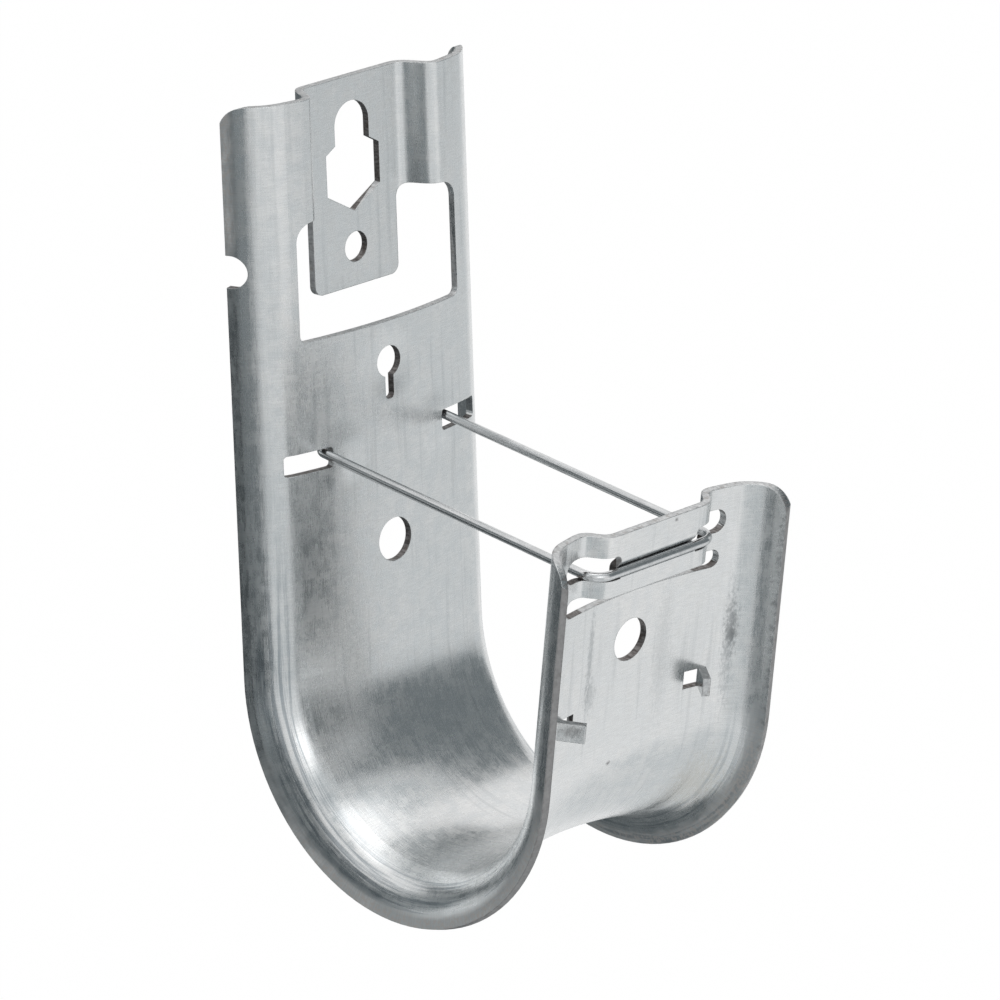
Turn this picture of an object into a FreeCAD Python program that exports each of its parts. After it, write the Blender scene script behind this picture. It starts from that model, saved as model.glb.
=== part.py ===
"""Cable j-hook: one pressed steel strap with rolled edges, and its bent wire retainer.

Built with the cable-side face of the back plate's middle at Y 0 and the centre of the
bottom bend at Z 0, then moved so that the origin lies on the wall plane, on the axis of
the screw that the hook hangs from.  +Z up, +Y into the wall, +X to the right.  Millimetres.
"""
import FreeCAD, Part
import math
import os

V = FreeCAD.Vector
os.makedirs("parts", exist_ok=True)

# Sheet and its cross-section (the same rolled section runs round the whole hook)
SHEET = 1.25              # sheet thickness
HALF_WIDTH = 25.4         # middle to the cable-side corner of the lip
BOW_RADIUS = 90.0         # the middle bows gently toward the cables
SHOULDER_RADIUS = 8.6     # cable-side radius of each rolled edge
SHOULDER_ANGLE = 72.5     # how far each edge is rolled back, degrees
LIP = 1.5                 # straight lip after the roll

# Side view
BEND_RADIUS = 23.7        # cable-side radius of the bottom
LEAN = 8.7                # the front plate leans outward by this, degrees
BACK_TOP = 93.4           # top of the back plate above the bend centre
FRONT_LENGTH = 38.9       # straight length of the front plate
BACK_CORNER = 4.5         # rounding of the top corners of the rolled edges
FRONT_CORNER = 4.5

# Stepped middle (set toward the wall at the back, outward at the front)
STEP_INNER = 9.2          # half width of the flat panel
STEP_OUTER = 15.4         # the step has run out into the bowed sheet here
BACK_STEP = 6.4           # panel face behind the cable-side face of the middle
FRONT_STEP = 4.3

# U-shaped window that frees the hanging tab
WINDOW_HALF = 17.3
WINDOW_BOTTOM = 54.7
WINDOW_TOP = 73.8
WINDOW_TOP_CORNER = 3.0
WINDOW_INNER_CORNER = 2.2  # where the window's top meets the tab
WINDOW_BOTTOM_CORNER = 1.2
TAB_HALF = 9.1
TAB_GAP = 4.7             # from the window's lower edge to the tab
TAB_CORNER = 1.6

# Holes in the tab
HEX_FLATS = 11.5          # lets a 7/16 in hexagon head through
HEX_DROP = 7.5            # hexagon's centre below the hanging screw
HANG_SLOT_WIDTH = 7.4
HANG_SCREW_HEIGHT = 85.7  # centre of the round top of the slot
PILOT_DIA = 4.9
PILOT_UP = 6.3            # centre above the tab's lower edge

# Holes in the back plate
KEYHOLE_DIA = 5.1
KEYHOLE_HEIGHT = 48.1
KEYHOLE_SLOT_WIDTH = 1.8
KEYHOLE_SLOT_END = 42.0
CATCH_INNER = 12.0        # slots that catch the wire's feet
CATCH_OUTER = 20.9
CATCH_BOTTOM = 33.5
CATCH_TOP = 36.9
CATCH_CORNER = 0.6
SCREW_HOLE_DIA = 7.1      # for 1/4 in hardware, back and front
BACK_HOLE_HEIGHT = 18.7
FRONT_HOLE_ALONG = 17.2
NOTCH_HEIGHT = 66.9
NOTCH_WIDTH = 5.2
NOTCH_DEPTH = 3.8         # measured square to the wall

# Front plate openings, measured along the plate from the end of the bend
LOW_SLOT_HALF = 17.0
LOW_SLOT_FROM = 25.6
LOW_SLOT_TO = 28.6
HIGH_SLOT_INNER = 8.3
HIGH_SLOT_OUTER = 17.7
HIGH_SLOT_FROM = 31.45
HIGH_SLOT_TO = 35.4
HIGH_SLOT_CORNER = 1.2
SEAT_SINK = 0.45          # the wire's centre lies this far behind the panel's outer face
SEAT_SLOPE = 40.0         # the pressed seat runs up to the face at this angle above the wire
SEAT_ROUND = 1.6          # and eases into the face with this radius
LANCE_HINGE = 16.6        # two small tongues cut and bent outward
LANCE_LENGTH = 4.2
LANCE_FROM = 5.35
LANCE_HEIGHT = 3.0
LANCE_ANGLE = 54.0

# Wire retainer
WIRE_DIA = 1.5
LEG_HALF = 13.2           # middle to the centre of a leg
FRONT_BEND = 3.0          # centre-line radii
FOOT_BEND = 1.7
FOOT_TIP = 9.6            # the feet turn in behind the sheet to here
SLOT_REST_GAP = 0.12      # bar above the lower edge of the high slots
SEAT_GAP = 0.04           # all round the bar in its seat
FOOT_GAP = 0.35           # feet behind the sheet
CATCH_GAP = 0.08          # legs under the top edge of the catch slots

# Derived
ROLL = math.radians(SHOULDER_ANGLE)
LEAN_RAD = math.radians(LEAN)
SHOULDER_START = math.asin(
    (HALF_WIDTH - SHOULDER_RADIUS * math.sin(ROLL) - LIP * math.cos(ROLL))
    / (BOW_RADIUS - SHOULDER_RADIUS))
SHOULDER_CENTRE = V((BOW_RADIUS - SHOULDER_RADIUS) * math.sin(SHOULDER_START),
                    BOW_RADIUS - (BOW_RADIUS - SHOULDER_RADIUS) * math.cos(SHOULDER_START), 0)
BEND_AXIS = V(0, -BEND_RADIUS, 0)
BEND_ANGLE = 180.0 - LEAN
WIRE_RADIUS = WIRE_DIA / 2
TAB_BOTTOM = WINDOW_BOTTOM + TAB_GAP
PILOT_HEIGHT = TAB_BOTTOM + PILOT_UP
HEX_HEIGHT = HANG_SCREW_HEIGHT - HEX_DROP
BACK_STEP_FROM = WINDOW_TOP - 2.9          # the plates are stepped beyond these lines,
FRONT_STEP_FROM = (LOW_SLOT_FROM + LOW_SLOT_TO) / 2   # which lie inside openings


def mirror_x(p):
    return V(-p.x, p.y, p.z)


def bow_point(angle, offset):
    """Point of the bowed middle, offset from its cable-side face toward the wall."""
    r = BOW_RADIUS - offset
    return V(r * math.sin(angle), BOW_RADIUS - r * math.cos(angle), 0)


def shoulder_point(angle, offset):
    r = SHOULDER_RADIUS - offset
    return SHOULDER_CENTRE + V(r * math.sin(angle), -r * math.cos(angle), 0)


def lip_end(offset):
    return shoulder_point(ROLL, offset) + V(LIP * math.cos(ROLL), LIP * math.sin(ROLL), 0)


def bow_depth(x):
    """How far the cable-side face lies behind the middle at x."""
    return BOW_RADIUS - math.sqrt(BOW_RADIUS ** 2 - x ** 2)


LIP_REAR = lip_end(SHEET)
WALL_Y = LIP_REAR.y       # the lips' rear corners touch the wall


# Cross-section of the sheet
def rolled_edge(offset, side):
    """Shoulder arc and straight lip of one face, right (side 1) or left (side -1)."""
    pick = (lambda p: p) if side > 0 else mirror_x
    a = pick(shoulder_point(SHOULDER_START, offset))
    m = pick(shoulder_point((SHOULDER_START + ROLL) / 2, offset))
    b = pick(shoulder_point(ROLL, offset))
    return [Part.Arc(a, m, b).toShape(), Part.LineSegment(b, pick(lip_end(offset))).toShape()]


def step_curve(offset, step, side):
    """One face of the S-bend that carries the bowed sheet over to the stepped panel."""
    angle = math.asin(STEP_OUTER / BOW_RADIUS)
    start = bow_point(angle, SHEET / 2)
    end = V(STEP_INNER, step + SHEET / 2, 0)
    reach = 0.62 * (start.x - end.x)
    c1 = start - V(reach * math.cos(angle), reach * math.sin(angle), 0)
    c2 = end + V(reach, 0, 0)
    points = []
    for i in range(17):
        t = i / 16
        u = 1 - t
        p = start * u ** 3 + c1 * (3 * u * u * t) + c2 * (3 * u * t * t) + end * t ** 3
        d = (c1 - start) * (3 * u * u) + (c2 - c1) * (6 * u * t) + (end - c2) * (3 * t * t)
        d.normalize()
        wallward = V(d.y, -d.x, 0)
        q = p + wallward * (offset - SHEET / 2)
        points.append(q if side > 0 else mirror_x(q))
    curve = Part.BSplineCurve()
    curve.interpolate(points)
    return curve.toShape()


def middle_of_face(offset, step):
    """The middle of one face: a single bow, or bow, S-bend, flat panel, S-bend, bow."""
    a = bow_point(SHOULDER_START, offset)
    if step is None:
        return [Part.Arc(mirror_x(a), V(0, offset, 0), a).toShape()]
    outer = math.asin(STEP_OUTER / BOW_RADIUS)
    b = bow_point(outer, offset)
    m = bow_point((SHOULDER_START + outer) / 2, offset)
    c = V(STEP_INNER, step + offset, 0)
    edges = [Part.LineSegment(mirror_x(c), c).toShape()]
    for side in (1, -1):
        pick = (lambda p: p) if side > 0 else mirror_x
        edges.append(Part.Arc(pick(a), pick(m), pick(b)).toShape())
        edges.append(step_curve(offset, step, side))
    return edges


def section(step=None):
    """Face of the sheet's cross-section in the plane Z 0."""
    edges = []
    for offset in (0.0, SHEET):
        edges += middle_of_face(offset, step)
        for side in (1, -1):
            edges += rolled_edge(offset, side)
    for pick in (lambda p: p, mirror_x):
        edges.append(Part.LineSegment(pick(lip_end(0.0)), pick(lip_end(SHEET))).toShape())
    return Part.Face(Part.Wire(Part.__sortEdges__(edges)))


def length_of(face, z_from, z_to):
    """The section run straight from one height to another."""
    run = face.copy()
    run.translate(V(0, 0, z_from))
    return run.extrude(V(0, 0, z_to - z_from))


# Punches: all cut straight through along Y
def rounded_box(x1, x2, z1, z2, corners, y1=-12.0, y2=30.0):
    """Block with rounded vertical-view corners; corners are radii for
    bottom left, bottom right, top right and top left."""
    bl, br, tr, tl = corners
    k = math.sqrt(0.5)
    edges = []

    def arc(cx, cz, r, dx, dz, p, q):
        if r > 0:
            edges.append(Part.Arc(p, V(cx + dx * k * r, y1, cz + dz * k * r), q).toShape())

    def side(p, q):
        if p.distanceToPoint(q) > 1e-6:
            edges.append(Part.LineSegment(p, q).toShape())

    p = [V(x1 + bl, y1, z1), V(x2 - br, y1, z1), V(x2, y1, z1 + br), V(x2, y1, z2 - tr),
         V(x2 - tr, y1, z2), V(x1 + tl, y1, z2), V(x1, y1, z2 - tl), V(x1, y1, z1 + bl)]
    side(p[0], p[1])
    arc(x2 - br, z1 + br, br, 1, -1, p[1], p[2])
    side(p[2], p[3])
    arc(x2 - tr, z2 - tr, tr, 1, 1, p[3], p[4])
    side(p[4], p[5])
    arc(x1 + tl, z2 - tl, tl, -1, 1, p[5], p[6])
    side(p[6], p[7])
    arc(x1 + bl, z1 + bl, bl, -1, -1, p[7], p[0])
    face = Part.Face(Part.Wire(Part.__sortEdges__(edges)))
    return face.extrude(V(0, y2 - y1, 0))


def round_punch(x, z, dia, y1=-12.0, y2=30.0):
    return Part.makeCylinder(dia / 2, y2 - y1, V(x, y1, z), V(0, 1, 0))


def hexagon_punch(x, z, flats, y1=-12.0, y2=30.0):
    """Hexagon with upright flats and a corner at the bottom."""
    r = flats / math.sqrt(3)
    ring = [V(x + r * math.sin(math.radians(60 * i)), y1, z + r * math.cos(math.radians(60 * i)))
            for i in range(7)]
    return Part.Face(Part.makePolygon(ring)).extrude(V(0, y2 - y1, 0))


def corner_trim(y_edge, z_edge, radius, up):
    """Rounds the free corner of both rolled edges; up is 1 for an upper end, -1 for a lower."""
    y0, z0 = y_edge - radius, z_edge - up * radius
    trims = []
    for x in (16.5, -36.5):
        block = Part.makeBox(20, 20, 20, V(x, y0, z0 if up > 0 else z0 - 20))
        keep = Part.makeCylinder(radius, 20, V(x, y0, z0), V(1, 0, 0))
        trims.append(block.cut(keep))
    return trims


# Back plate
def hanging_tab():
    """Flat tab below the stepped strip, cut free by the window."""
    return rounded_box(-TAB_HALF, TAB_HALF, TAB_BOTTOM, BACK_STEP_FROM + 1.0,
                       (TAB_CORNER, TAB_CORNER, 0, 0), BACK_STEP, BACK_STEP + SHEET)


def hex_keyhole():
    """Hexagon that passes a bolt head, with a round-topped slot above it to hang from."""
    slot_top = round_punch(0, HANG_SCREW_HEIGHT, HANG_SLOT_WIDTH)
    slot = Part.makeBox(HANG_SLOT_WIDTH, 42, HANG_SCREW_HEIGHT - HEX_HEIGHT,
                        V(-HANG_SLOT_WIDTH / 2, -12, HEX_HEIGHT))
    return hexagon_punch(0, HEX_HEIGHT, HEX_FLATS).fuse([slot, slot_top])


def small_keyhole():
    slot_half = KEYHOLE_SLOT_WIDTH / 2
    slot = rounded_box(-slot_half, slot_half, KEYHOLE_SLOT_END, KEYHOLE_HEIGHT,
                       (slot_half * 0.7, slot_half * 0.7, 0, 0))
    return round_punch(0, KEYHOLE_HEIGHT, KEYHOLE_DIA).fuse(slot)


def edge_notches():
    """Round-bottomed notches in both lips, punched from the side."""
    r = NOTCH_WIDTH / 2
    y_round = WALL_Y - NOTCH_DEPTH + r
    cuts = []
    for x in (19.0, -29.0):
        cuts.append(Part.makeCylinder(r, 10, V(x, y_round, NOTCH_HEIGHT), V(1, 0, 0)))
        cuts.append(Part.makeBox(10, 10, NOTCH_WIDTH, V(x, y_round, NOTCH_HEIGHT - r)))
    return cuts


def catch_slots():
    c = (CATCH_CORNER,) * 4
    return [rounded_box(CATCH_INNER, CATCH_OUTER, CATCH_BOTTOM, CATCH_TOP, c),
            rounded_box(-CATCH_OUTER, -CATCH_INNER, CATCH_BOTTOM, CATCH_TOP, c)]


def window_punch():
    """The window below the tab and its two legs beside it, with rounded corners."""
    lower = rounded_box(-WINDOW_HALF, WINDOW_HALF, WINDOW_BOTTOM, BACK_STEP_FROM,
                        (WINDOW_BOTTOM_CORNER, WINDOW_BOTTOM_CORNER, 0, 0))
    right = rounded_box(TAB_HALF, WINDOW_HALF, WINDOW_BOTTOM + 5, WINDOW_TOP,
                        (0, 0, WINDOW_TOP_CORNER, WINDOW_INNER_CORNER))
    left = right.mirror(V(0, 0, 0), V(1, 0, 0))
    return lower.fuse([right, left])


def back_plate():
    plain = length_of(section(), 0, BACK_STEP_FROM)
    stepped = length_of(section(BACK_STEP), BACK_STEP_FROM, BACK_TOP)
    plate = plain.fuse(stepped).cut(window_punch()).fuse(hanging_tab())
    cuts = [hex_keyhole(), round_punch(0, PILOT_HEIGHT, PILOT_DIA), small_keyhole(),
            round_punch(0, BACK_HOLE_HEIGHT, SCREW_HOLE_DIA)]
    cuts += edge_notches() + catch_slots() + corner_trim(WALL_Y, BACK_TOP, BACK_CORNER, 1)
    return plate.cut(cuts)


# Front plate, built hanging below Z 0 and swung round the bend
def lance(side):
    """Tongue cut on three sides and bent outward about its outer end."""
    y_face = bow_depth(LANCE_HINGE) + SHEET
    tongue = Part.makeBox(LANCE_LENGTH + 0.6, SHEET, LANCE_HEIGHT,
                          V(-LANCE_LENGTH - 0.2, -SHEET, -LANCE_FROM - LANCE_HEIGHT))
    tongue.rotate(V(0, 0, 0), V(0, 0, 1), -LANCE_ANGLE)
    tongue.translate(V(LANCE_HINGE, y_face, 0))
    return tongue if side > 0 else tongue.mirror(V(0, 0, 0), V(1, 0, 0))


def lance_opening(side):
    x1, x2 = sorted((side * (LANCE_HINGE - LANCE_LENGTH), side * LANCE_HINGE))
    return rounded_box(x1, x2, -LANCE_FROM - LANCE_HEIGHT, -LANCE_FROM, (0,) * 4)


def bar_line():
    """Centre of the cross bar in the front plate's own frame: outward Y and length along."""
    return FRONT_STEP + SHEET - SEAT_SINK, HIGH_SLOT_FROM + WIRE_RADIUS + SLOT_REST_GAP


def seat_block(half, radius, ease, lower, base):
    """Block along X whose edge follows the pressed seat: round the wire, up a slope, and
    eased into the face.  radius and ease belong to one face of the sheet, lower is where
    that face meets the seat below the wire, and base is the block's flat side."""
    y_bar, along = bar_line()
    y_face = y_bar - (radius - WIRE_RADIUS - SEAT_GAP) + SEAT_SINK
    slope = math.radians(SEAT_SLOPE)

    def at(up, y):
        return V(-half, y, -along - up)

    def round_bar(angle):
        return at(radius * math.sin(angle), y_bar - radius * math.cos(angle))

    slope_foot = round_bar(slope)
    rise = y_face - slope_foot.y
    crest = -slope_foot.z - along + rise / math.tan(slope)     # where the slope would end
    tangent = ease * math.tan(slope / 2)
    ease_from = at(crest - tangent * math.cos(slope), y_face - tangent * math.sin(slope))
    ease_to = at(crest + tangent, y_face)
    y_ease = y_face - ease
    ease_mid = at(crest + tangent - ease * math.sin(slope / 2), y_ease + ease * math.cos(slope / 2))
    low = -math.acos((y_bar - lower) / radius)
    low_end = round_bar(low)
    edges = [Part.Arc(low_end, round_bar((low + slope) / 2), slope_foot).toShape(),
             Part.LineSegment(slope_foot, ease_from).toShape(),
             Part.Arc(ease_from, ease_mid, ease_to).toShape()]
    corner_high, corner_low = V(-half, base, ease_to.z), V(-half, base, low_end.z)
    for p, q in ((ease_to, corner_high), (corner_high, corner_low), (corner_low, low_end)):
        edges.append(Part.LineSegment(p, q).toShape())
    return Part.Face(Part.Wire(Part.__sortEdges__(edges))).extrude(V(2 * half, 0, 0))


def seat_void():
    """What the seat's outer face leaves open for the wire."""
    y_face = FRONT_STEP + SHEET
    return seat_block(HIGH_SLOT_INNER + HIGH_SLOT_CORNER, WIRE_RADIUS + SEAT_GAP, SEAT_ROUND,
                      y_face, y_face + 2.0)


def seat_rib():
    """The same seat seen from the cable side: a rib one sheet thickness behind it."""
    return seat_block(HIGH_SLOT_INNER, WIRE_RADIUS + SEAT_GAP + SHEET, SEAT_ROUND - SHEET,
                      FRONT_STEP, FRONT_STEP + SHEET / 2)


def front_plate():
    plain = length_of(section(), -FRONT_STEP_FROM, 0)
    stepped = length_of(section(FRONT_STEP), -FRONT_LENGTH, -FRONT_STEP_FROM)
    plate = plain.fuse(stepped)
    plate = plate.fuse(seat_rib()).cut(seat_void())
    low_r = (LOW_SLOT_TO - LOW_SLOT_FROM) / 2
    high_r = 0.49 * (HIGH_SLOT_TO - HIGH_SLOT_FROM)
    cuts = [rounded_box(-LOW_SLOT_HALF, LOW_SLOT_HALF, -LOW_SLOT_TO, -LOW_SLOT_FROM,
                        (low_r * 0.98,) * 4),
            rounded_box(HIGH_SLOT_INNER, HIGH_SLOT_OUTER, -HIGH_SLOT_TO, -HIGH_SLOT_FROM,
                        (HIGH_SLOT_CORNER, high_r, high_r, 0)),
            rounded_box(-HIGH_SLOT_OUTER, -HIGH_SLOT_INNER, -HIGH_SLOT_TO, -HIGH_SLOT_FROM,
                        (high_r, HIGH_SLOT_CORNER, 0, high_r)),
            round_punch(0, -FRONT_HOLE_ALONG, SCREW_HOLE_DIA),
            lance_opening(1), lance_opening(-1)]
    cuts += corner_trim(WALL_Y, -FRONT_LENGTH, FRONT_CORNER, -1)
    plate = plate.cut(cuts).fuse([lance(1), lance(-1)])
    plate.rotate(BEND_AXIS, V(-1, 0, 0), BEND_ANGLE)
    return plate


def hook_body():
    bend = section().revolve(BEND_AXIS, V(-1, 0, 0), BEND_ANGLE)
    return back_plate().fuse([bend, front_plate()]).removeSplitter()


# Wire retainer
def swung(y, along):
    """Front-plate point (outward Y, length along) carried round the bend."""
    a = math.radians(BEND_ANGLE)
    dy, dz = y + BEND_RADIUS, -along
    return (-BEND_RADIUS + dy * math.cos(a) + dz * math.sin(a),
            -dy * math.sin(a) + dz * math.cos(a))


def filleted_path(corners, radii):
    """Straight runs joined by arcs at the inner corners."""
    edges = []
    last = corners[0]
    for i, r in enumerate(radii, start=1):
        before, here, after = corners[i - 1], corners[i], corners[i + 1]
        u, w = (before - here).normalize(), (after - here).normalize()
        half = u.getAngle(w) / 2
        p, q = here + u * (r / math.tan(half)), here + w * (r / math.tan(half))
        middle = here + (u + w).normalize() * (r / math.sin(half) - r)
        edges += [Part.LineSegment(last, p).toShape(), Part.Arc(p, middle, q).toShape()]
        last = q
    edges.append(Part.LineSegment(last, corners[-1]).toShape())
    return Part.Wire(edges)


def wire_retainer():
    """Spring wire: feet turned in behind the back plate, two legs, bar across the front."""
    front_y, front_z = swung(*bar_line())
    foot_y = bow_depth(CATCH_INNER) + SHEET + WIRE_RADIUS + FOOT_GAP
    foot_z = CATCH_TOP - WIRE_RADIUS - CATCH_GAP
    right = [V(FOOT_TIP, foot_y, foot_z), V(LEG_HALF, foot_y, foot_z), V(LEG_HALF, front_y, front_z)]
    corners = right + [mirror_x(p) for p in reversed(right)]
    path = filleted_path(corners, (FOOT_BEND, FRONT_BEND, FRONT_BEND, FOOT_BEND))
    circle = Part.Wire(Part.makeCircle(WIRE_RADIUS, corners[0], V(1, 0, 0)))
    return path.makePipeShell([circle], True, True)


def main():
    to_origin = V(0, -WALL_Y, -HANG_SCREW_HEIGHT)
    for name, make in (("hook_body", hook_body), ("wire_retainer", wire_retainer)):
        shape = make()
        shape.translate(to_origin)
        solid = shape.Solids[0] if len(shape.Solids) == 1 else shape
        solid.exportStep("parts/%s.step" % name)
        box = solid.BoundBox
        print(name, "solids", len(shape.Solids), "valid", solid.isValid(),
              "volume %.1f" % solid.Volume,
              "box %.2f %.2f %.2f to %.2f %.2f %.2f" % (box.XMin, box.YMin, box.ZMin,
                                                        box.XMax, box.YMax, box.ZMax))


main()
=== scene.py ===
"""A galvanised cable j-hook with its wire retainer, dressed and lit as in the photograph."""
import math
import bpy
from mathutils import Matrix, Vector
from mathutils.bvhtree import BVHTree


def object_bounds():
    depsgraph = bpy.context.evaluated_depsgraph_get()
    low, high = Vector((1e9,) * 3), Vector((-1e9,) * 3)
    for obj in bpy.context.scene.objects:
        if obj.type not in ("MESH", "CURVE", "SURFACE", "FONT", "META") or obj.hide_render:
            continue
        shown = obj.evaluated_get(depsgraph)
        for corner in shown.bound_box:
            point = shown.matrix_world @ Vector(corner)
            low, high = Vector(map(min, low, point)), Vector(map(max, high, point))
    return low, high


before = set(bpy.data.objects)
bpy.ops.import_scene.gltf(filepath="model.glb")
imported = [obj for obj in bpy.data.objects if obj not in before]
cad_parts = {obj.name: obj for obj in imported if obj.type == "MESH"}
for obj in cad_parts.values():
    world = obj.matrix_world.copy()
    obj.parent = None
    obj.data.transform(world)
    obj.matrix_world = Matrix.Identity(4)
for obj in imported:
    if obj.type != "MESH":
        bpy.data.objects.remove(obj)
cad_low, cad_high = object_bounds()

MM = 0.001

# the camera, solved from the photograph
IMAGE_SIZE = 1000.0                       # pixels each way
FOCAL_PIXELS = 7469.8
SENSOR = 36.0                             # mm
AZIMUTH, ELEVATION = -45.154, 17.828      # degrees
ROLL = math.radians(-1.803)
TARGET = Vector((0.0, -40.418, -45.7)) * MM
DISTANCE = 1153.6 * MM
CENTRE_OFFSET = (-31.14, -51.81)          # pixels, of the lens axis from the picture's middle
FARTHEST_SEEN = 100.0                     # m

# the sheet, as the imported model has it
SHEET = 1.25 * MM
CUT_DEPTH = 1.9 * SHEET                   # metal deeper than this behind a face: it is a cut edge
HOLE_WIDTH = 13.0 * MM                    # a cut edge that faces metal within this is a hole's wall
BEND_CENTRE = Vector((0.0, -33.261, -85.7)) * MM
BEND_RADIUS = 23.7                        # mm
LEAN = math.radians(8.7)
RAY_START = 0.02 * MM                     # rays start this far off a face, so as not to hit it
SHEET_SLOT, RIM_SLOT, WALL_SLOT = 0, 1, 2  # the hook's material slots

# zones of the flat strip in mm, each from where it starts to where it is full
SHOULDER_IN, SHOULDER_OUT = (19.5, 22.0), (25.3, 24.3)
MARKS_BACK, MARKS_FRONT = (-66.0, -36.0), (40.0, 14.0)
SPECKLES_BACK, SPECKLES_FRONT = (-34.0, -10.0), (38.0, 26.0)
SPECKLES_TOP = (-96.0, -114.0)
RIM_DEPTH = (6.6, 8.4)
LIP_END_DEPTH = (8.4, 9.0)

# colours of the metal
ZINC, BRIGHT_ZINC, CLOUDED = (0.65, 0.67, 0.68), (0.79, 0.79, 0.785), (0.66, 0.685, 0.695)
ROLLED, CROSS_ROLLED, STREAKED = (0.90, 0.90, 0.89), (0.56, 0.565, 0.565), (0.50, 0.52, 0.53)
SPECKED, SPECKLED = (0.45, 0.45, 0.45), (0.70, 0.66, 0.63)
DRAGGED, RUBBED = (0.20, 0.24, 0.27), (0.88, 0.88, 0.87)
# rims and hole walls are one sheared steel: the rims' greys are painted light, the walls' darker greys
# painted shade
RIM_DARK, RIM_LIGHT, RIM_RUST = (0.46, 0.465, 0.47), (0.66, 0.665, 0.665), (0.34, 0.31, 0.29)
WALL_DARK, WALL_LIGHT, WALL_RUST = (0.10, 0.09, 0.085), (0.26, 0.245, 0.24), (0.11, 0.08, 0.065)
LIP_END = (0.18, 0.175, 0.175)
WIRE_DARK, WIRE_LIGHT, WIRE_DULL = (0.60, 0.61, 0.615), (0.68, 0.685, 0.69), (0.42, 0.42, 0.425)

# stains and painted shade seen in the photograph: centre and half sizes on the flat strip in mm,
# strength, colour
# the first colour darkens the dirt marks and also paints a spot of shade on the left tongue
DIRT_AND_PAINTED_SHADE, DARKER_GREY, WARM = (0.16, 0.16, 0.16), (0.36, 0.38, 0.39), (0.60, 0.565, 0.50)
# painted shade for the band along one lip of the front plate
LIP_SHADE = (0.22, 0.23, 0.24)
STAINS_AND_PAINTED_SHADE = (
    ((20.3, 46.3), (0.7, 1.7), 1.0, DIRT_AND_PAINTED_SHADE),
    ((20.3, 47.5), (1.1, 4.5), 0.60, DIRT_AND_PAINTED_SHADE),
    # darker grey streaks and bands on the front plate
    ((20.0, 45.0), (1.0, 11.0), 0.60, DARKER_GREY),
    ((-9.3, 50.0), (0.7, 8.5), 0.65, DARKER_GREY),
    ((-8.7, 43.5), (1.7, 3.4), 0.50, DARKER_GREY),
    ((7.3, 46.0), (2.0, 12.0), 0.25, DARKER_GREY),
    # painted shade along the lip, not a stain
    ((24.6, 54.0), (0.6, 38.0), 0.75, LIP_SHADE),
    ((-2.2, 30.3), (0.45, 0.45), 0.80, DIRT_AND_PAINTED_SHADE),
    ((3.3, 70.6), (0.4, 0.35), 0.80, DIRT_AND_PAINTED_SHADE),
    # painted shade: the dark spot in the middle of the left tongue's curved face
    ((-15.2, 40.0), (1.3, 1.0), 0.55, DIRT_AND_PAINTED_SHADE),
    ((19.0, 20.5), (5.0, 7.0), 0.45, WARM),
)
# places where punching has pushed the sheet a little: centre, radius and rise in mm
DENTS = (
    ((0.0, -84.5), 5.5, -0.45),
    ((10.5, -72.5), 5.0, 0.35),
    ((-10.5, -72.5), 5.0, 0.35),
)

FLOOR_DROP = 1.6                          # the hook hangs this far above the floor, m
FLOOR_SIZE = 40.0
FLOOR_LIFT = 0.97                         # how much of the floor's own white the camera sees
FLAG_DISTANCE = 1.4
FLAG_COLUMNS, FLAG_ROWS = 12, 6
FLAG_TINT = (0.86, 1.0, 1.06)             # the dark flags read slightly cool
# the cards that the photograph's reflections show: azimuths and elevations in degrees, brightness
FLAGS = (
    ("left_floor", (-165, -62), (-36, -26), 0.30),
    ("left_low", (-165, -58), (-26, -17.5), 0.05),
    ("left_back", (-165, -98), (-17.5, -8), 0.06),
    ("left_middle", (-98, -62), (-17.5, -8), 0.38),
    ("left_upper", (-130, -62), (-8, 33), 0.17),
    ("rear_left", (-165, -130), (-8, 10), 0.80),
    ("rear_left_upper", (-165, -130), (10, 33), 0.25),
    ("front", (-62, 14), (-17.5, 28), 0.90),
    ("front_upper", (-62, 18), (28, 50), 0.74),
    ("front_low", (-58, -8), (-36, -17.5), 0.60),
    ("front_top", (-100, 95), (50, 62), 0.60),
    ("right", (18, 100), (-8, 46), 0.22),
    ("right_low", (14, 95), (-28, -8), 0.78),
    ("rear", (137, 195), (-33, 36), 0.14),
    ("below_rear", (130, 265), (-80, -33), 0.14),
    ("below_front", (-95, 130), (-89, -42), 0.78),
)
# azimuth and elevation in degrees, distance and size in m, power in W
SOFTBOXES = (
    ("top_softbox", 0, 88, 0.9, 0.8, 1.6),
    ("front_softbox", -22, 18, 0.9, 0.4, 0.5),
)


# Shader graphs

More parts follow.
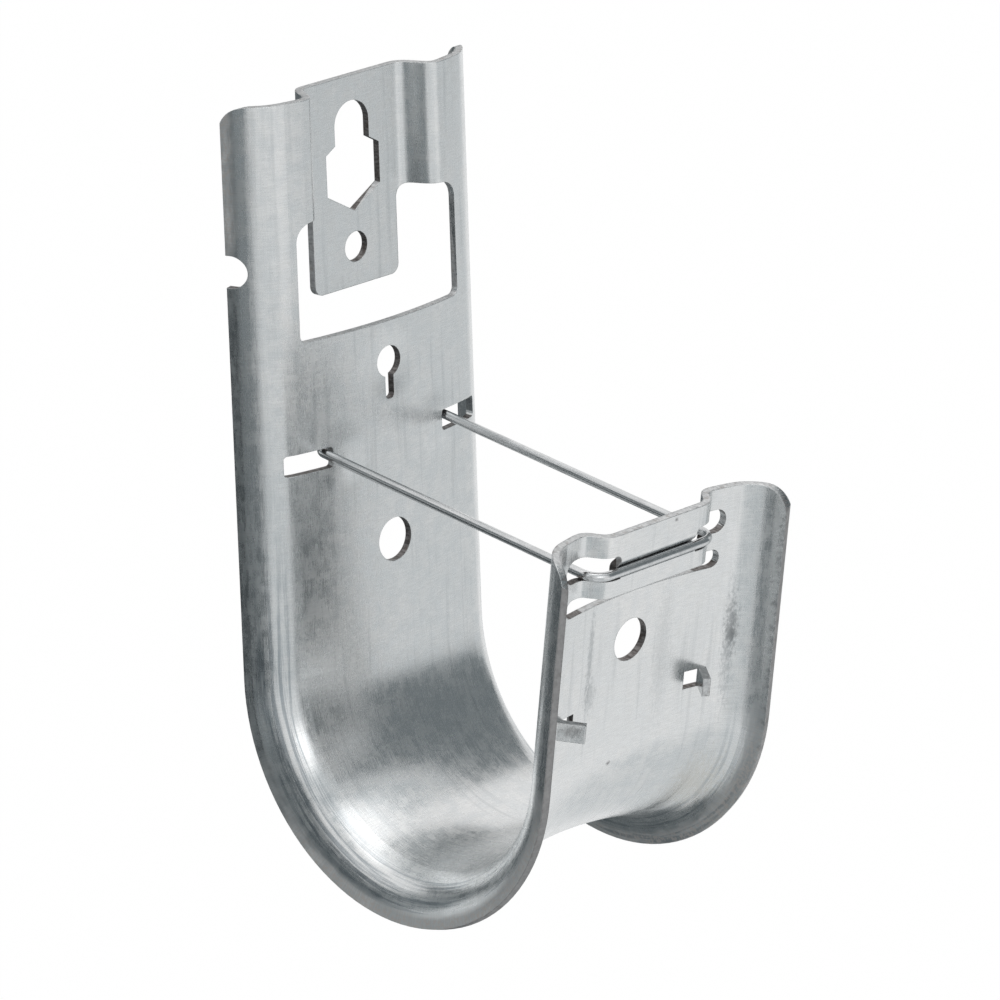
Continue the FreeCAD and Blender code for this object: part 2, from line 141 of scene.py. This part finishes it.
class Graph:
    """A node tree built by small calls; a socket or a plain value may be given for any input."""

    def __init__(self, owner):
        owner.use_nodes = True
        self.tree = owner.node_tree
        self.tree.nodes.clear()

    def node(self, kind, inputs=(), **settings):
        made = self.tree.nodes.new("ShaderNode" + kind)
        for name, value in settings.items():
            setattr(made, name, value)
        for name, value in dict(inputs).items():
            socket = made.inputs[name]
            if isinstance(value, bpy.types.NodeSocket):
                self.tree.links.new(value, socket)
            else:
                socket.default_value = value
        return made

    def math(self, operation, *values):
        return self.node("Math", enumerate(values), operation=operation).outputs[0]

    def vector_math(self, operation, *values):
        return self.node("VectorMath", enumerate(values), operation=operation).outputs[0]

    def scaled(self, where, factors):
        return self.vector_math("MULTIPLY", where, factors)

    def noise(self, where, scale, detail=3.0, roughness=0.55):
        inputs = {"Vector": where, "Scale": scale, "Detail": detail, "Roughness": roughness}
        return self.node("TexNoise", inputs).outputs["Fac"]

    def ramp(self, value, low, high, out_low=0.0, out_high=1.0, smooth=True):
        inputs = {"Value": value, "From Min": low, "From Max": high,
                  "To Min": out_low, "To Max": out_high}
        kind = "SMOOTHSTEP" if smooth else "LINEAR"
        return self.node("MapRange", inputs, interpolation_type=kind).outputs[0]

    def mix(self, factor, first, second):
        made = self.node("Mix", data_type="RGBA", blend_type="MIX")
        for index, value in ((0, factor), (6, first), (7, second)):
            if isinstance(value, bpy.types.NodeSocket):
                self.tree.links.new(value, made.inputs[index])
            else:
                made.inputs[index].default_value = value if index == 0 else colour(value)
        return made.outputs[2]


def colour(value):
    """A grey level or an RGB triple as RGBA."""
    return (value, value, value, 1.0) if isinstance(value, float) else (*value, 1.0)


def strip_coordinates(graph):
    """Where a point is on the flat strip, in mm: across it, along it from the back plate round
    the bend to the front plate, and how deep it lies behind the cable side of the middle."""
    position = graph.node("TexCoord").outputs["Object"]
    across, y, z = graph.node("SeparateXYZ", {0: graph.scaled(position, (1 / MM,) * 3)}).outputs
    below = graph.math("SUBTRACT", BEND_CENTRE.z / MM, z)
    forward = graph.math("SUBTRACT", BEND_CENTRE.y / MM, y)
    side = graph.math("SIGN", forward)
    height = graph.math("MAXIMUM", graph.math("MULTIPLY", below, -1.0), 0.0)
    drop = graph.math("MAXIMUM", below, 0.0)
    angle = graph.math("ARCTAN2", forward, drop)
    round_bend = graph.math("MULTIPLY", angle, BEND_RADIUS)
    along = graph.math("ADD", round_bend, graph.math("MULTIPLY", height, side))
    on_front = graph.math("GREATER_THAN", side, 0.0)
    lean = graph.math("MULTIPLY", height, graph.math("MULTIPLY", on_front, math.tan(LEAN)))
    level = graph.math("SUBTRACT", forward, lean)
    reach = graph.math("SQRT", graph.math("ADD", graph.math("MULTIPLY", level, level),
                                          graph.math("MULTIPLY", drop, drop)))
    depth = graph.math("SUBTRACT", reach, BEND_RADIUS)
    flat = graph.node("CombineXYZ", {0: across, 1: along, 2: 0.0}).outputs[0]
    return position, flat, depth


def soft_patch(graph, flat, centre, size, strength, ragged):
    """Soft-edged mark on the strip; its centre and half sizes are in mm, ragged breaks it up."""
    offset = graph.vector_math("SUBTRACT", flat, (*centre, 0.0))
    scaled = graph.scaled(offset, (1 / size[0], 1 / size[1], 0.0))
    distance = graph.node("VectorMath", {0: scaled}, operation="LENGTH").outputs["Value"]
    distance = graph.math("ADD", distance, graph.ramp(ragged, 0.25, 0.75, -0.9, 0.9, smooth=False))
    return graph.ramp(distance, 1.25, 0.1, 0.0, strength)


def die_marks(graph, flat):
    """Where the dies dragged along both shoulders, darkest round the bend, and where they rubbed."""
    across, along, _ = graph.node("SeparateXYZ", {0: flat}).outputs
    out = graph.math("ABSOLUTE", across)
    shoulder = graph.math("MULTIPLY", graph.ramp(out, *SHOULDER_IN), graph.ramp(out, *SHOULDER_OUT))
    in_bend = graph.math("MULTIPLY", graph.ramp(along, *MARKS_BACK, 0.10, 1.0),
                         graph.ramp(along, *MARKS_FRONT))
    marked = graph.math("MULTIPLY", shoulder, in_bend)
    drag = graph.noise(graph.scaled(flat, (1.9, 0.045, 1.0)), 1.0, detail=4.0, roughness=0.65)
    dragged = graph.math("MULTIPLY", marked, graph.ramp(drag, 0.46, 0.60))
    rubbed = graph.math("MULTIPLY", marked, graph.ramp(drag, 0.42, 0.30, 0.0, 0.5))
    return dragged, rubbed


def scuffed_rim(graph, flat, depth):
    """The lips' ends, at the top of the back plate and round the bend."""
    along = graph.node("SeparateXYZ", {0: flat}).outputs[1]
    round_bend = graph.math("MULTIPLY", graph.ramp(along, *SPECKLES_BACK),
                            graph.ramp(along, *SPECKLES_FRONT))
    scuffed = graph.math("MAXIMUM", graph.ramp(along, *SPECKLES_TOP), round_bend)
    return graph.math("MULTIPLY", graph.ramp(depth, *RIM_DEPTH), scuffed)


def dented(graph, flat, normal):
    """The normal, bent where punching has pushed the sheet."""
    height = 0.0
    for centre, radius, rise in DENTS:
        height = graph.math("ADD", height, soft_patch(graph, flat, centre, (radius, radius), rise, 0.5))
    return graph.node("Bump", {"Strength": 1.0, "Distance": 1.0 * MM, "Height": height,
                               "Normal": normal}).outputs[0]


def galvanised_sheet(material):
    """Zinc-coated strip: cool grey, fine rolled grain, soft mottling, forming marks, stains and
    painted shade.
    """
    graph = Graph(material)
    position, flat, depth = strip_coordinates(graph)

    mottle = graph.noise(position, 420.0, detail=5.0, roughness=0.62)
    cloud = graph.noise(position, 60.0, detail=2.0)
    grain = graph.noise(graph.scaled(flat, (5.5, 0.30, 1.0)), 1.0, detail=3.0, roughness=0.6)
    weave = graph.noise(graph.scaled(flat, (0.45, 5.0, 1.0)), 1.0, detail=3.0, roughness=0.6)
    streak = graph.noise(graph.scaled(flat, (0.75, 0.035, 1.0)), 1.0, detail=2.0)
    speck = graph.noise(position, 1800.0, detail=2.0, roughness=0.7)
    ragged = graph.noise(graph.scaled(flat, (2.6, 0.9, 1.0)), 1.0, detail=5.0, roughness=0.75)
    speckle = graph.ramp(graph.noise(position, 1900.0, detail=3.0), 0.46, 0.60, 0.1, 0.8)
    dragged, rubbed = die_marks(graph, flat)
    rim = scuffed_rim(graph, flat, depth)

    tone = graph.mix(graph.ramp(mottle, 0.34, 0.66), ZINC, BRIGHT_ZINC)
    tone = graph.mix(graph.ramp(cloud, 0.3, 0.7, 0.0, 0.5), tone, CLOUDED)
    tone = graph.mix(graph.ramp(grain, 0.25, 0.75, 0.0, 0.30), tone, ROLLED)
    tone = graph.mix(graph.ramp(weave, 0.36, 0.66, 0.0, 0.34), tone, CROSS_ROLLED)
    tone = graph.mix(graph.ramp(streak, 0.54, 0.74, 0.0, 0.40), tone, STREAKED)
    tone = graph.mix(graph.ramp(speck, 0.62, 0.78, 0.0, 0.25), tone, SPECKED)
    tone = graph.mix(graph.math("MULTIPLY", dragged, 0.62), tone, DRAGGED)
    tone = graph.mix(rubbed, tone, RUBBED)
    # stains, darker grey bands and painted shade are laid over the tone
    for centre, size, strength, shade in STAINS_AND_PAINTED_SHADE:
        tone = graph.mix(soft_patch(graph, flat, centre, size, strength, ragged), tone, shade)
    tone = graph.mix(graph.math("MULTIPLY", rim, speckle), tone, SPECKLED)

    rough = graph.ramp(mottle, 0.3, 0.7, 0.22, 0.31)
    rough = graph.math("ADD", rough, graph.ramp(grain, 0.3, 0.7, -0.04, 0.05))
    rough = graph.math("ADD", rough, graph.math("MULTIPLY", rim, 0.34))

    height = graph.math("ADD", graph.math("MULTIPLY", grain, 0.6), graph.math("MULTIPLY", weave, 0.5))
    height = graph.math("ADD", height, graph.math("MULTIPLY", mottle, 0.5))
    height = graph.math("SUBTRACT", height, graph.math("MULTIPLY", dragged, 0.7))
    rounded = graph.node("Bevel", {"Radius": 0.18 * MM}, samples=4).outputs[0]
    bump = graph.node("Bump", {"Strength": 0.16, "Distance": 0.05 * MM, "Height": height,
                               "Normal": dented(graph, flat, rounded)}).outputs[0]
    shader = graph.node("BsdfPrincipled", {"Base Color": tone, "Metallic": 1.0, "Roughness": rough,
                                           "Normal": bump}).outputs[0]
    graph.node("OutputMaterial", {"Surface": shader})


def sheared(material, dark, light, rust, round_over):
    """Sheared steel with fine tearing across the thickness, darker on the lips' own ends; its
    edges are rounded over by this many mm."""
    graph = Graph(material)
    position, _, depth = strip_coordinates(graph)
    tear = graph.noise(graph.scaled(position, (2600.0, 700.0, 2600.0)), 1.0, detail=3.0)
    spot = graph.noise(position, 900.0, detail=2.0)
    tone = graph.mix(graph.ramp(tear, 0.3, 0.7), dark, light)
    tone = graph.mix(graph.ramp(spot, 0.55, 0.7, 0.0, 0.5), tone, rust)
    tone = graph.mix(graph.ramp(depth, *LIP_END_DEPTH, 0.0, 0.75), tone, LIP_END)
    rounded = graph.node("Bevel", {"Radius": round_over * MM}, samples=4).outputs[0]
    bump = graph.node("Bump", {"Strength": 0.2, "Distance": 0.05 * MM, "Height": tear,
                               "Normal": rounded}).outputs[0]
    shader = graph.node("BsdfPrincipled", {"Base Color": tone, "Metallic": 0.9,
                                           "Roughness": graph.ramp(spot, 0.3, 0.7, 0.40, 0.55),
                                           "Normal": bump}).outputs[0]
    graph.node("OutputMaterial", {"Surface": shader})


def cut_edge(material):
    """The rims, where the zinc has smeared over the cut: mid grey, kept lighter than the hole walls as
    painted light from above.
    """
    sheared(material, RIM_DARK, RIM_LIGHT, RIM_RUST, round_over=0.42)


def hole_wall(material):
    """The walls of the holes: bare steel, dark and brownish, darkened further as painted shade inside
    the holes.
    """
    sheared(material, WALL_DARK, WALL_LIGHT, WALL_RUST, round_over=0.22)


def spring_wire(material):
    """Drawn zinc-coated wire, smooth and a little dull."""
    graph = Graph(material)
    position = graph.node("TexCoord").outputs["Object"]
    drawn = graph.noise(graph.scaled(position, (1200.0, 60.0, 1200.0)), 1.0, detail=1.0)
    mottle = graph.noise(position, 300.0, detail=2.0)
    tone = graph.mix(graph.ramp(drawn, 0.3, 0.7), WIRE_DARK, WIRE_LIGHT)
    tone = graph.mix(graph.ramp(mottle, 0.5, 0.72, 0.0, 0.3), tone, WIRE_DULL)
    bump = graph.node("Bump", {"Strength": 0.05, "Distance": 0.02 * MM, "Height": drawn}).outputs[0]
    shader = graph.node("BsdfPrincipled", {"Base Color": tone, "Metallic": 1.0,
                                           "Roughness": graph.ramp(mottle, 0.3, 0.7, 0.20, 0.30),
                                           "Normal": bump}).outputs[0]
    graph.node("OutputMaterial", {"Surface": shader})


# The CAD nodes

def mark_cut_edges(piece):
    """Faces with more metal behind them than the sheet's thickness are cut edges: hole walls if
    they face more metal close by, else rims."""
    mesh = piece.data
    corners = [vertex.co for vertex in mesh.vertices]
    faces = [tuple(face.vertices) for face in mesh.polygons]
    tree = BVHTree.FromPolygons(corners, faces)
    for face in mesh.polygons:
        inward = -face.normal
        hit = tree.ray_cast(face.center + inward * RAY_START, inward)
        if not hit[0] or hit[3] < CUT_DEPTH:
            face.material_index = SHEET_SLOT
            continue
        across = tree.ray_cast(face.center - inward * RAY_START, -inward, HOLE_WIDTH)
        # hole walls get the painted-shade copy of the steel, rims the painted-light copy
        face.material_index = WALL_SLOT if across[0] else RIM_SLOT


def dress(node, *makers):
    """Replaces a node's materials, with one slot for each maker, in order."""
    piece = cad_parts[node]
    piece.data.materials.clear()
    for maker in makers:
        material = bpy.data.materials.new(maker.__name__)
        maker(material)
        piece.data.materials.append(material)
    return piece


mark_cut_edges(dress("hook_body", galvanised_sheet, cut_edge, hole_wall))
dress("wire_retainer", spring_wire)


# The studio

def staged(name, points, faces, material):
    """A surface of the studio, which isn't part of the hook."""
    mesh = bpy.data.meshes.new(name)
    mesh.from_pydata(points, [], faces)
    mesh.materials.append(material)
    made = bpy.data.objects.new(name, mesh)
    bpy.context.scene.collection.objects.link(made)
    return made


def floor_material():
    """White paper; seen by the camera and in the metal it is as bright as the background."""
    material = bpy.data.materials.new("floor")
    graph = Graph(material)
    paper = graph.noise(graph.node("TexCoord").outputs["Object"], 40.0, detail=2.0)
    tone = graph.mix(graph.ramp(paper, 0.3, 0.7), 0.93, 0.95)
    diffuse = graph.node("BsdfDiffuse", {"Color": tone}).outputs[0]
    white = graph.node("Emission", {"Color": colour(1.0), "Strength": 1.0}).outputs[0]
    ray = graph.node("LightPath").outputs
    seen = graph.math("MAXIMUM", ray["Is Camera Ray"],
                      graph.math("MAXIMUM", ray["Is Glossy Ray"], ray["Is Transmission Ray"]))
    lift = graph.math("MULTIPLY", seen, FLOOR_LIFT)
    surface = graph.node("MixShader", {0: lift, 1: diffuse, 2: white}).outputs[0]
    graph.node("OutputMaterial", {"Surface": surface})
    return material


def card_material(name, level):
    """A cool grey card that only reflections see."""
    material = bpy.data.materials.new(name)
    graph = Graph(material)
    shade = colour(tuple(level * (tint * (1.0 - level) + level) for tint in FLAG_TINT))
    graph.node("OutputMaterial", {"Surface": graph.node("Emission", {"Color": shade}).outputs[0]})
    return material


def towards(azimuth, elevation):
    """Unit vector for a direction given as a view's azimuth and elevation are, in degrees."""
    az, el = math.radians(azimuth), math.radians(elevation)
    return Vector((math.sin(az) * math.cos(el), -math.cos(az) * math.cos(el), math.sin(el)))


def flag(name, azimuths, elevations, level):
    """A curved card round the hook, which keeps the white surroundings off the metal."""
    points, faces = [], []
    for j in range(FLAG_ROWS + 1):
        el = elevations[0] + (elevations[1] - elevations[0]) * j / FLAG_ROWS
        for i in range(FLAG_COLUMNS + 1):
            az = azimuths[0] + (azimuths[1] - azimuths[0]) * i / FLAG_COLUMNS
            points.append(TARGET + towards(az, el) * FLAG_DISTANCE)
    next_row = FLAG_COLUMNS + 1
    for j in range(FLAG_ROWS):
        for i in range(FLAG_COLUMNS):
            k = j * next_row + i
            faces.append((k, k + 1, k + next_row + 1, k + next_row))
    card = staged(name, points, faces, card_material(name, level))
    for hidden_from in ("visible_camera", "visible_diffuse", "visible_shadow", "visible_transmission"):
        setattr(card, hidden_from, False)


def softbox(name, azimuth, elevation, distance, size, power):
    lamp = bpy.data.lights.new(name, "AREA")
    lamp.size = size
    lamp.energy = power
    placed = bpy.data.objects.new(name, lamp)
    placed.location = TARGET + towards(azimuth, elevation) * distance
    placed.rotation_euler = towards(azimuth, elevation).to_track_quat("Z", "Y").to_euler()
    bpy.context.scene.collection.objects.link(placed)


def studio():
    reach = FLOOR_SIZE / 2
    corners = ((-reach, -reach, 0), (reach, -reach, 0), (reach, reach, 0), (-reach, reach, 0))
    floor = staged("floor", corners, [(0, 1, 2, 3)], floor_material())
    floor.location.z = cad_low.z - FLOOR_DROP
    for name, azimuths, elevations, level in FLAGS:
        flag("flag_" + name, azimuths, elevations, level)
    for settings in SOFTBOXES:
        softbox(*settings)

    world = bpy.data.worlds.new("studio")
    bpy.context.scene.world = world
    graph = Graph(world)
    sky = graph.node("Background", {"Color": colour(1.0), "Strength": 1.0}).outputs[0]
    graph.node("OutputWorld", {"Surface": sky})


def camera():
    direction = towards(AZIMUTH, ELEVATION)
    right = (-direction).cross(Vector((0, 0, 1))).normalized()
    up = right.cross(-direction)
    side = right * math.cos(ROLL) + up * math.sin(ROLL)
    top = -right * math.sin(ROLL) + up * math.cos(ROLL)
    data = bpy.data.cameras.new("camera")
    data.sensor_width = SENSOR
    data.lens = FOCAL_PIXELS / IMAGE_SIZE * SENSOR
    data.shift_x, data.shift_y = (offset / IMAGE_SIZE for offset in CENTRE_OFFSET)
    data.clip_end = FARTHEST_SEEN
    placed = bpy.data.objects.new("camera", data)
    turn = Matrix((side, top, direction)).transposed()
    placed.matrix_world = Matrix.Translation(TARGET + direction * DISTANCE) @ turn.to_4x4()
    bpy.context.scene.collection.objects.link(placed)
    bpy.context.scene.camera = placed


studio()
camera()
bpy.context.scene.view_settings.view_transform = "Standard"
